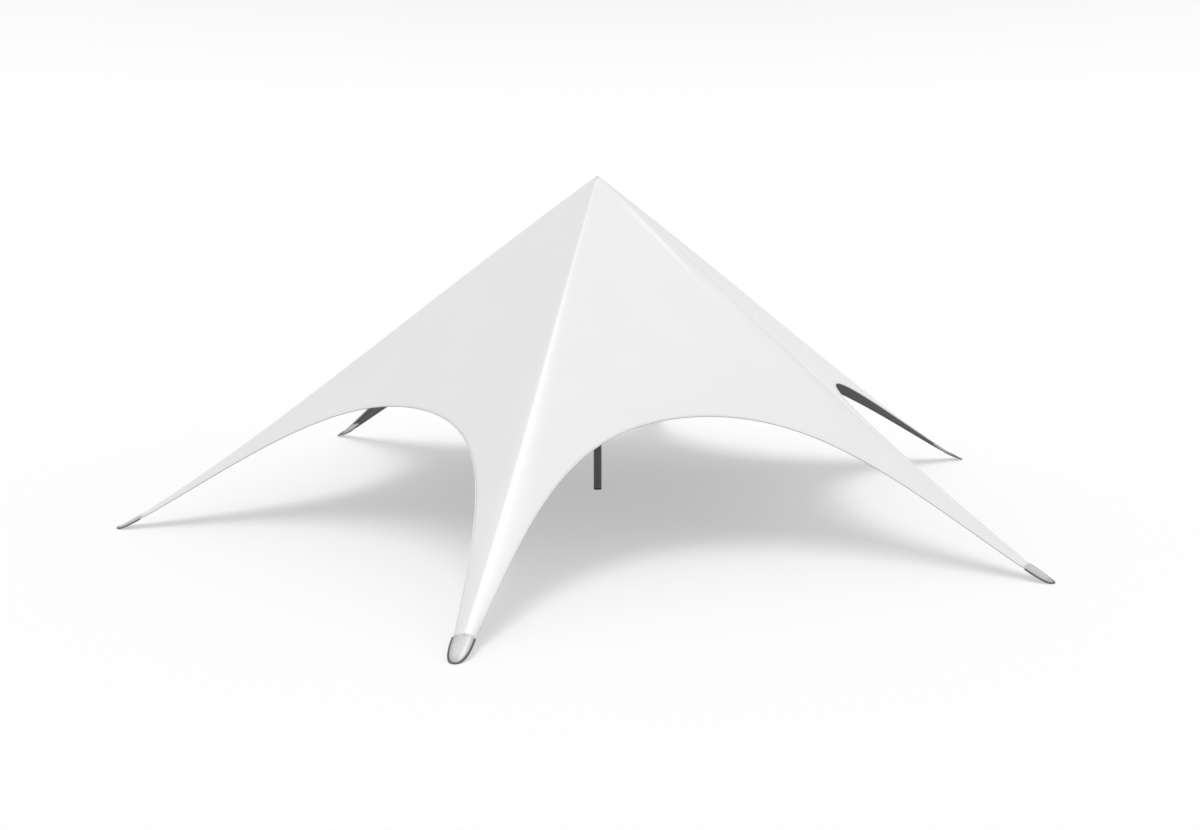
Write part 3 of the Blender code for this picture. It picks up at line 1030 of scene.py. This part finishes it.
@dataclass
class RidgeSeams:
    """The flat-felled seams on the ridges and the load webbing sewn under them."""

    form: StarForm
    stations: int = 140
    start: float = 0.24
    row_spacing: float = 0.020
    strap_width: float = 0.050
    strap_thickness: float = 0.003
    strap_start: float = 0.10
    strap_drop: float = 0.0034
    strap_cuts: int = 5
    plate_overlap: float = 0.06
    tongue_length: float = 0.26

    def line(self, leg: int, start: float, end: float, aside: float, drop: float) -> Run:
        """Points along a leg beside its ridge."""
        turn = leg_turn(leg)
        run = []
        for station in range(self.stations + 1):
            along = start + (end - start) * station / self.stations
            place, normal = self.form.leg_spot(along, aside, drop)
            run.append((turn @ place, turn.to_3x3() @ normal))
        return run

    def build_stitches(self, thread: bpy.types.Material) -> bpy.types.Object:
        """Two rows of stitches beside every ridge, and one across the end of every leg."""
        runs = []
        end = self.form.fabric_end - 0.015
        for leg in range(len(LEG_NAMES)):
            for side in (-1, 1):
                runs.append(self.line(leg, self.start, end, side * self.row_spacing / 2, 0.0))
            turn = leg_turn(leg)
            cross = []
            for i in range(17):
                aside = (self.form.leg_half_width - 0.012) * (i / 8 - 1)
                place, normal = self.form.leg_spot(end + 0.003, aside)
                cross.append((turn @ place, turn.to_3x3() @ normal))
            runs.append(cross)
        return StitchRow().make("ridge_stitches", runs, thread)

    def build_strap_stitches(self, thread: bpy.types.Material) -> bpy.types.Object:
        """Two rows of stitches on the underside of every strap."""
        runs = []
        end = self.form.fabric_end - self.tongue_length
        drop = self.strap_drop + self.strap_thickness + 0.0012
        inset = self.strap_width / 2 - 0.006
        for leg in range(len(LEG_NAMES)):
            for side in (-1, 1):
                runs.append(self.line(leg, self.strap_start + 0.1, end, side * inset, drop))
        return StitchRow().make("webbing_stitches", runs, thread)

    def build_strap(self, leg: int, finish: bpy.types.Material) -> bpy.types.Object:
        """The strap under one ridge, bent over it like a roof."""
        name = "ridge_webbing_" + LEG_NAMES[leg]
        bench = GeometryBench(name + "_sweep")
        width = bench.size("Width", self.strap_width)
        thickness = bench.size("Thickness", self.strap_thickness)
        cuts = bench.size("Cuts", self.strap_cuts, "Int")
        material = bench.size("Webbing", finish, "Material")
        line = bench.wire("GeometryNodeMeshToCurve", {"Mesh": bench.shape})
        run = bench.wire("GeometryNodeSplineParameter", output="Length")
        feeds = {"Geometry": line, "Name": "run_metres", "Value": run}
        line = bench.wire("GeometryNodeStoreNamedAttribute", feeds)
        line = bench.wire("GeometryNodeSetCurveNormal", {"Curve": line}, mode="Z_UP")
        section = bench.wire("GeometryNodeCurvePrimitiveQuadrilateral", {"Width": width, "Height": thickness})
        section = bench.wire("GeometryNodeSubdivideCurve", {"Curve": section, "Cuts": cuts})
        aside, _, _ = bench.parts(bench.wire("GeometryNodeInputPosition"))
        feeds = {"Geometry": section, "Name": "side_metres", "Value": aside}
        section = bench.wire("GeometryNodeStoreNamedAttribute", feeds)
        feeds = {"Curve": line, "Profile Curve": section, "Fill Caps": True}
        strap = bench.wire("GeometryNodeCurveToMesh", feeds)
        drop = abs(bench.attribute("side_metres")) * bench.attribute("lean")
        feeds = {"Geometry": strap, "Offset": bench.joined(0.0, 0.0, 0.0 - drop)}
        bench.close(bench.wire("GeometryNodeSetPosition", feeds), (material, None))
        end = self.form.fabric_end - self.tongue_length + self.plate_overlap
        middle = self.strap_drop + self.strap_thickness / 2
        run_line = self.line(leg, self.strap_start, end, 0.0, middle)
        pace = (end - self.strap_start) / self.stations
        leans = [self.lean(self.strap_start + pace * i) for i in range(len(run_line))]
        return bench.make(name, polylines(name + "_line", [run_line], lean=leans))

    def lean(self, along: float) -> float:
        """Slope of the cloth from the ridge to the strap's edge."""
        half = self.strap_width / 2
        return (self.form.leg_height(along, 0.0) - self.form.leg_height(along, half)) / half


@dataclass
class FootPlates:
    """Pressed steel noses with a rubber edging, one at the end of every leg."""

    form: StarForm
    half_width: float = 0.1055
    nose_power: float = 2.5
    crown: float = 0.021
    crown_power: float = 3.4
    toe_height: float = 0.012
    toe_edge_height: float = 0.008
    steel: float = 0.0030
    shoulder: float = 0.0060
    shoulder_steps: int = 5
    wall_depth: float = 0.020
    wall_foot: float = 0.0006
    cloth_gap: float = 0.0034
    gap_fade: float = 0.090
    nose_stations: int = 26
    columns: int = 24
    tongue_length: float = 0.26
    tongue_half_width: float = 0.080
    tongue_stations: int = 10
    flare_length: float = 0.020
    edging_radius: float = 0.009
    edging_start: float = 0.003
    toe_easing: float = 0.004

    def top_height(self, along: float, aside: float, half: float) -> float:
        """Height of the nose's top face.

        Args:
            along: distance from the pole's axis along the leg.
            aside: distance from the leg's middle.
            half: half width of the nose there.

        Returns:
            The height above the floor.
        """
        past = along - self.form.fabric_end
        share = past / (self.form.star_radius - self.form.fabric_end)
        start = self.form.leg_height(self.form.fabric_end, 0)
        crown_line = start + (self.toe_height - start) * share
        place = min(abs(aside) / max(half, 1e-5), 1.0)
        gap = self.cloth_gap * max(0.0, 1 - past / self.gap_fade)
        drop = self.crown * (half / self.half_width) ** 2 * place**self.crown_power
        return max(crown_line - drop, self.toe_edge_height) - gap

    def toe_share(self, along: float) -> float:
        """How far along the nose a place is, 0 at the cloth's end and 1 at the toe."""
        reach = self.form.star_radius - self.form.fabric_end
        return max(0.0, min((along - self.form.fabric_end) / reach, 1.0))

    def half_width_at(self, along: float) -> float:
        """Half width of the nose."""
        return self.half_width * math.sqrt(max(1 - self.toe_share(along) ** self.nose_power, 0.0))

    def rim(self, inset: float) -> list[Vector]:
        """Plan points on one side of the nose, this far inside its outline, from the cloth to the toe."""
        reach = self.form.star_radius - self.form.fabric_end
        points = []
        for i in range(self.nose_stations + 1):
            turn = math.pi / 2 * (1 - i / self.nose_stations)
            along = self.form.fabric_end + reach * max(math.cos(turn), 0.0) ** (2 / self.nose_power)
            points.append(Vector((along, self.half_width * math.sin(turn))))
        inner = []
        mirrored = Vector((points[-2].x, -points[-2].y))
        for before, point, after in zip([points[0], *points], points, [*points[1:], mirrored]):
            way = (after - before).normalized()
            inner.append(point + Vector((way.y, -way.x)) * inset)
        inner[0] = Vector((points[0].x, points[0].y - inset))
        inner[-1].y = 0.0
        return inner

    def tongue_rows(self, work: bmesh.types.BMesh) -> list[list[bmesh.types.BMVert]]:
        """Rows of the tongue under the cloth, flaring out to the nose."""
        rows = []
        end = self.form.fabric_end
        wide = self.half_width - self.shoulder
        start = end - self.tongue_length
        for station in range(self.tongue_stations + 4):
            if station < self.tongue_stations:
                plain_length = self.tongue_length - self.flare_length
                along = start + plain_length * station / (self.tongue_stations - 1)
            else:
                along = end - self.flare_length * (1 - (station - self.tongue_stations + 1) / 5)
            flare = max(0.0, 1 - (end - along) / self.flare_length)
            half = self.tongue_half_width + (wide - self.tongue_half_width) * math.sin(flare * math.pi / 2)
            row = []
            for column in range(self.columns + 1):
                aside = half * (2 * column / self.columns - 1)
                place, _ = self.form.leg_spot(along, aside, self.cloth_gap)
                row.append(work.verts.new(place))
            rows.append(row)
        return rows

    def build_plate(self, leg: int, finish: bpy.types.Material) -> bpy.types.Object:
        """The nose with its turned-down wall, and the tongue that lies under the cloth."""
        work = bmesh.new()
        # share from the middle to the rim and toe: the mask of the steel's painted shade
        rim_shade_mask = work.verts.layers.float.new("rim_shade_mask")
        outline = self.rim(0.0)
        top_rim = self.rim(self.shoulder)
        rows = self.tongue_rows(work)
        for rim, edge in zip(top_rim[:-1], outline):
            row = []
            for column in range(self.columns + 1):
                aside = rim.y * (2 * column / self.columns - 1)
                row.append(work.verts.new((rim.x, aside, self.top_height(rim.x, aside, edge.y))))
            rows.append(row)
        for first, second in zip(rows, rows[1:]):
            for i in range(self.columns):
                work.faces.new((first[i], second[i], second[i + 1], first[i + 1]))
        toe = top_rim[-1]
        tip = work.verts.new((toe.x, 0.0, self.top_height(toe.x, 0.0, 0.0)))
        for i in range(self.columns):
            work.faces.new((rows[-1][i], tip, rows[-1][i + 1]))
        self.add_wall(work, rows[-len(outline) + 1 :], tip)
        # painted shade mask: 0 in the middle, 1 at the rim and toe
        for vert in work.verts:
            half = max(self.half_width_at(vert.co.x), 1e-5)
            vert[rim_shade_mask] = max(min(abs(vert.co.y) / half, 1.0), self.toe_share(vert.co.x))
        bmesh.ops.transform(work, matrix=leg_turn(leg), verts=work.verts)
        name = "foot_plate_" + LEG_NAMES[leg]
        mesh = mesh_from(work, name)
        if mesh.polygons[0].normal.z < 0:
            mesh.flip_normals()
        mesh.materials.append(finish)
        piece = place_in_scene(name, mesh)
        solid = piece.modifiers.new("steel", "SOLIDIFY")
        solid.thickness = self.steel
        solid.offset = -1
        solid.use_even_offset = True
        return soften(piece, self.steel / 4)

    def add_wall(
        self,
        work: bmesh.types.BMesh,
        rows: Sequence[Sequence[bmesh.types.BMVert]],
        tip: bmesh.types.BMVert,
    ) -> None:
        """Turn the nose's edge down round a shoulder into a short wall.

        Args:
            work: the mesh being worked on.
            rows: the nose's rows from the cloth to the toe.
            tip: the toe's point on the top face.
        """
        top = [row[-1] for row in rows] + [tip] + [row[0] for row in reversed(rows)]
        steps = [(math.pi / 2 * (i + 1) / self.shoulder_steps) for i in range(self.shoulder_steps)]
        bends = [(1 - math.sin(turn), self.shoulder * (1 - math.cos(turn))) for turn in steps]
        bends.append((0.0, self.wall_depth))
        above = top
        for inward, down in bends:
            side = self.rim(self.shoulder * inward)
            plan = side + [Vector((p.x, -p.y)) for p in reversed(side[:-1])]
            below = []
            for place, rim in zip(plan, top):
                level = max(rim.co.z - down, self.wall_foot)
                below.append(work.verts.new((place.x, place.y, level)))
            for i in range(len(above) - 1):
                work.faces.new((above[i], above[i + 1], below[i + 1], below[i]))
            above = below

    def build_edging(self, leg: int, finish: bpy.types.Material) -> bpy.types.Object:
        """The rubber edging pushed on the plate's wall."""
        turn = leg_turn(leg)
        side = self.rim(-self.edging_radius * 0.93)
        halves = [point.y for point in self.rim(0.0)]
        run = []
        for place, half in zip(side, halves):
            along = max(place.x, self.form.fabric_end + self.edging_start)
            lift = self.top_height(along, half, half) - self.wall_depth / 2 - self.edging_radius
            level = self.edging_radius + self.toe_easing * math.log(1 + math.exp(lift / self.toe_easing))
            run.append(Vector((along, place.y, level)))
        run += [Vector((point.x, -point.y, point.z)) for point in reversed(run[:-1])]
        line = [(turn @ point, UP) for point in run]
        sweep = RoundSweep(self.edging_radius, sides=16)
        return sweep.make("foot_edging_" + LEG_NAMES[leg], [line], finish, finish)


@dataclass
class CentrePole:
    """The pole in two tubes with their joint, the rubber foot and the moulded head."""

    wall: float = 0.004
    edge: float = 0.0012
    foot_groove: float = 0.0025
    foot_grooves: int = 3
    head_lift: float = 0.0048
    head_wall: float = 0.005
    head_flat_radius: float = 0.02
    head_rim: float = 0.025
    hub_radius: float = 0.078
    rib_count: int = 12
    rib_thickness: float = 0.005

    def tube(self, node: str, finish: bpy.types.Material, slot: Slot) -> bpy.types.Object:
        """A tube in a CAD node's place, with its ends broken."""
        low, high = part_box(node)
        outer = (high[0] - low[0]) / 2
        inner = outer - self.wall
        profile = [(outer, high[2]), (outer, low[2]), (inner, low[2]), (inner, high[2])]
        mesh = turned(node + "_dressed", profile)
        mesh.materials.append(finish)
        return dress(soften(place_in_scene(mesh.name, mesh), self.edge), [node])

    def sleeve(self, finish: bpy.types.Material) -> bpy.types.Object:
        """The sleeve over the joint, with a rolled bead at both ends."""
        low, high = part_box("pole_joint_sleeve")
        outer = (high[0] - low[0]) / 2
        inner = outer - self.wall
        bead = 0.014
        waist = outer - 0.0012
        profile = [(inner, low[2]), (outer, low[2]), (outer, low[2] + bead), (waist, low[2] + bead + 0.003)]
        profile += [(waist, high[2] - bead - 0.003), (outer, high[2] - bead)]
        profile += [(outer, high[2]), (inner, high[2])]
        mesh = turned("pole_sleeve", profile)
        mesh.materials.append(finish)
        return dress(soften(place_in_scene(mesh.name, mesh), self.edge), ["pole_joint_sleeve"])

    def foot(self, finish: bpy.types.Material) -> bpy.types.Object:
        """The rubber plug under the pole, with grooves round it."""
        low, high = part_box("pole_foot_plug")
        outer = (high[0] - low[0]) / 2
        height = high[2] - low[2]
        profile = [(0.0, low[2]), (outer - 0.003, low[2]), (outer, low[2] + 0.003)]
        step = (height - 0.006) / self.foot_grooves
        for groove in range(self.foot_grooves):
            level = low[2] + 0.003 + step * (groove + 0.35)
            inner = outer - self.foot_groove
            profile += [(outer, level), (inner, level + 0.0012)]
            profile += [(inner, level + 0.0026), (outer, level + 0.0038)]
        profile += [(outer, high[2]), (0.0, high[2])]
        mesh = turned("pole_foot", profile)
        mesh.materials.append(finish)
        return dress(soften(place_in_scene(mesh.name, mesh), 0.0006, 1), ["pole_foot_plug"])

    def head(self, finish: bpy.types.Material) -> bpy.types.Object:
        """The moulded cap that spreads the cloth, hollow below between its ribs."""
        low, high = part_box("pole_head")
        outer = (high[0] - low[0]) / 2
        base = low[2]
        rim = base + self.head_rim
        top = high[2] + self.head_lift
        shoulder = rim + self.head_lift
        slope = (top - shoulder) / (outer - self.head_flat_radius)
        wall = self.head_wall
        roof = [(0.0, top), (self.head_flat_radius, top), (outer, shoulder), (outer, base)]
        lip = [(outer - wall, base), (outer - wall, shoulder - wall * 1.2)]
        under_hub = shoulder - wall * 1.2 + slope * (outer - self.hub_radius)
        hub = [(self.hub_radius, under_hub), (self.hub_radius, base), (0.0664, base)]
        socket = [(0.0664, under_hub - 0.012), (0.0, under_hub - 0.012)]
        mesh = turned("pole_cap", [*roof, *lip, *hub, *socket])
        mesh.materials.append(finish)
        return dress(soften(place_in_scene(mesh.name, mesh), 0.0018), ["pole_head"])

    def head_ribs(self, finish: bpy.types.Material) -> bpy.types.Object:
        """The ribs under the cap, one shape turned round the pole."""
        low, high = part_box("pole_head")
        outer = (high[0] - low[0]) / 2 - self.head_wall * 0.6
        rim = low[2] + self.head_rim + self.head_lift - self.head_wall
        slope = (high[2] - low[2] - self.head_rim) / ((high[0] - low[0]) / 2 - self.head_flat_radius)
        inner = self.hub_radius - 0.001
        corners = [(inner, low[2] + 0.004), (outer, low[2] + 0.004), (outer, rim)]
        corners.append((inner, rim + slope * (outer - inner)))
        work = bmesh.new()
        half = self.rib_thickness / 2
        sides = [[work.verts.new((r, side * half, z)) for r, z in corners] for side in (-1, 1)]
        work.faces.new(sides[0])
        work.faces.new(list(reversed(sides[1])))
        for i in range(len(corners)):
            j = (i + 1) % len(corners)
            work.faces.new((sides[0][i], sides[0][j], sides[1][j], sides[1][i]))
        rib = mesh_from(work, "cap_rib")
        bench = GeometryBench("cap_ribs")
        count = bench.size("Ribs", self.rib_count, "Int")
        material = bench.size("Moulding", finish, "Material")
        points = bench.wire("GeometryNodeMeshLine", {"Count": count, "Offset": (0.0, 0.0, 0.0)})
        index = bench.wire("GeometryNodeInputIndex")
        turn = bench.joined(0.0, 0.0, index / count * (2 * math.pi))
        turn = bench.wire("FunctionNodeEulerToRotation", {"Euler": turn})
        feeds = {"Points": points, "Instance": bench.shape, "Rotation": turn}
        bench.close(bench.wire("GeometryNodeInstanceOnPoints", feeds), (material, None))
        piece = bench.make("pole_cap_ribs", rib)
        return dress(soften(piece, 0.0012, 2))

    def build(self, tube: bpy.types.Material, fitting: bpy.types.Material, rubber: bpy.types.Material,
              moulding: bpy.types.Material) -> None:
        """Build the pole from the floor up.

        Args:
            tube: the tubes' finish.
            fitting: finish of the joint.
            rubber: finish of the foot.
            moulding: finish of the head.
        """
        self.foot(rubber)
        self.tube("pole_lower_tube", tube, Slot.POLE)
        self.tube("pole_upper_tube", tube, Slot.POLE)
        self.tube("pole_spigot", fitting, Slot.FITTING)
        self.sleeve(fitting)
        self.head(moulding)
        self.head_ribs(moulding)


# The studio


@dataclass(frozen=True)
class Lamp:
    """A soft lamp far away: how it leans from straight above, and how strong and wide it is."""

    name: str
    lean_x: float
    lean_y: float
    strength: float
    width: float

    def build(self) -> None:
        """Hang the lamp."""
        place = Vector((math.sin(math.radians(self.lean_x)), math.sin(math.radians(self.lean_y)), 0))
        place.z = math.sqrt(max(0.0, 1 - place.length_squared))
        data = bpy.data.lights.new(self.name, "SUN")
        data.energy = self.strength * math.pi
        data.angle = math.radians(self.width)
        lamp = bpy.data.objects.new(self.name, data)
        lamp.rotation_euler = (-place).to_track_quat("-Z", "Y").to_euler()
        bpy.context.scene.collection.objects.link(lamp)


@dataclass
class Studio:
    """Pale floor, soft light and the camera."""

    camera_place: tuple[float, float, float] = (3.0504, -15.5783, 3.8848)
    camera_yaw: float = math.radians(-10.9427)
    camera_pitch: float = math.radians(-9.5941)
    focal_px: float = 1017.34
    photo_width_px: float = 1200.0
    sensor: float = 36.0
    floor_radius: float = 400.0
    floor_tone: float = 0.5
    floor_glow: float = 0.42
    floor_drop: float = 0.0005
    horizon_glow: float = 1.0
    ceiling_glow: float = 0.65
    horizon_edge: tuple[float, float] = (0.1, 0.5)
    lamps: tuple[Lamp, ...] = (
        Lamp("overhead", 0.0, 0.0, 0.25, 28.0),
        Lamp("front_key", -6.0, -21.0, 0.20, 24.0),
        Lamp("right_fill", 70.0, 0.0, 0.095, 60.0),
    )

    def build(self) -> None:
        """Make the whole studio."""
        self.make_camera()
        self.make_floor()
        self.make_surroundings()
        for lamp in self.lamps:
            lamp.build()

    def make_camera(self) -> None:
        """Set the camera where the photograph was taken from."""
        data = bpy.data.cameras.new("camera")
        data.sensor_width = self.sensor
        data.lens = self.sensor * self.focal_px / self.photo_width_px
        data.clip_end = 2000
        camera = bpy.data.objects.new("camera", data)
        camera.location = self.camera_place
        level = math.cos(self.camera_pitch)
        sideways = math.sin(self.camera_yaw) * level
        forward = Vector((sideways, math.cos(self.camera_yaw) * level, math.sin(self.camera_pitch)))
        camera.rotation_euler = forward.to_track_quat("-Z", "Y").to_euler()
        bpy.context.scene.collection.objects.link(camera)
        bpy.context.scene.camera = camera

    def make_floor(self) -> None:
        """A plain pale floor that reaches the horizon."""
        work = bmesh.new()
        bmesh.ops.create_circle(work, cap_ends=True, segments=96, radius=self.floor_radius)
        bmesh.ops.translate(work, vec=(0, 0, -self.floor_drop), verts=work.verts)
        mesh = mesh_from(work, "studio_floor", recalculate=False)
        bench = ShaderBench("pale_floor")
        bench.surface(
            Base_Color=opaque((self.floor_tone,) * 3),
            Roughness=1.0,
            Specular_IOR_Level=0.0,
            Emission_Color=opaque((1, 1, 1)),
            Emission_Strength=self.floor_glow,
        )
        mesh.materials.append(bench.material)
        place_in_scene("studio_floor", mesh)

    def make_surroundings(self) -> None:
        """White walls all round and a softer ceiling."""
        world = bpy.data.worlds.new("white_room")
        world.use_nodes = True
        bench = NodeBench(world.node_tree)
        _, _, height = bench.parts(bench.wire("ShaderNodeTexCoord", output="Generated"))
        start, end = self.horizon_edge
        feeds = {"Value": height, "From Min": start, "From Max": end}
        feeds.update({"To Min": self.horizon_glow, "To Max": self.ceiling_glow})
        glow = bench.wire("ShaderNodeMapRange", feeds, interpolation_type="SMOOTHSTEP")
        background = world.node_tree.nodes["Background"]
        background.inputs["Color"].default_value = opaque((1, 1, 1))
        bench.feed(background.inputs["Strength"], glow)
        bpy.context.scene.world = world
        bpy.context.scene.view_settings.view_transform = "Standard"


def main() -> None:
    """Build the tent's looks and the studio."""
    logging.basicConfig(level=logging.INFO, format="%(message)s")
    form = StarForm()
    outer = CoatedCloth("white_cloth", (0.715, 0.715, 0.72), 0.42, 0.9, coat=1.0, coat_roughness=0.42).build()
    inner = CoatedCloth("dark_lining", (0.085, 0.085, 0.09), 0.6, 0.4, wave_depth=0.0004).build()
    binding = BoundHem().build()
    webbing = WovenWebbing().build()
    steel = ZincSteel().build()
    edging = MouldedMatt("rubber_edging_finish", (0.10, 0.10, 0.10), 0.6).build()
    tube = PowderCoat("dark_coating", (0.115, 0.115, 0.12), 0.42, 0.2).build()
    fitting = PowderCoat("black_coating", (0.05, 0.05, 0.052), 0.45).build()
    rubber = MouldedMatt("rubber_foot_finish", (0.030, 0.030, 0.030), 0.7).build()
    moulding = MouldedMatt("moulded_head_finish", (0.045, 0.045, 0.046), 0.5, dust=0.1).build()
    white_thread = SewingThread("white_thread", (0.74, 0.74, 0.74)).build()
    dark_thread = SewingThread("dark_thread", (0.10, 0.10, 0.105)).build()

    canopy_maker = Canopy(form)
    canopy = canopy_maker.build(outer, inner)
    dress(canopy, ["canopy_panel_" + name for name in BAY_NAMES] + ["peak_cone"])
    hems = ArchHems(form)
    for bay, name in enumerate(BAY_NAMES):
        dress(hems.build_hem(bay, outer, binding), ["arch_hem_" + name])
        dress(hems.build_pocket(bay, inner))
    dress(hems.build_stitches(white_thread))
    seams = RidgeSeams(form)
    dress(seams.build_stitches(white_thread))
    dress(seams.build_strap_stitches(dark_thread))
    plates = FootPlates(form)
    for leg, name in enumerate(LEG_NAMES):
        dress(seams.build_strap(leg, webbing), ["ridge_webbing_" + name])
        dress(plates.build_plate(leg, steel), ["foot_plate_" + name])
        dress(plates.build_edging(leg, edging), ["foot_edging_" + name])
    CentrePole().build(tube, fitting, rubber, moulding)
    Studio().build()


if __name__ == "__main__":
    main()
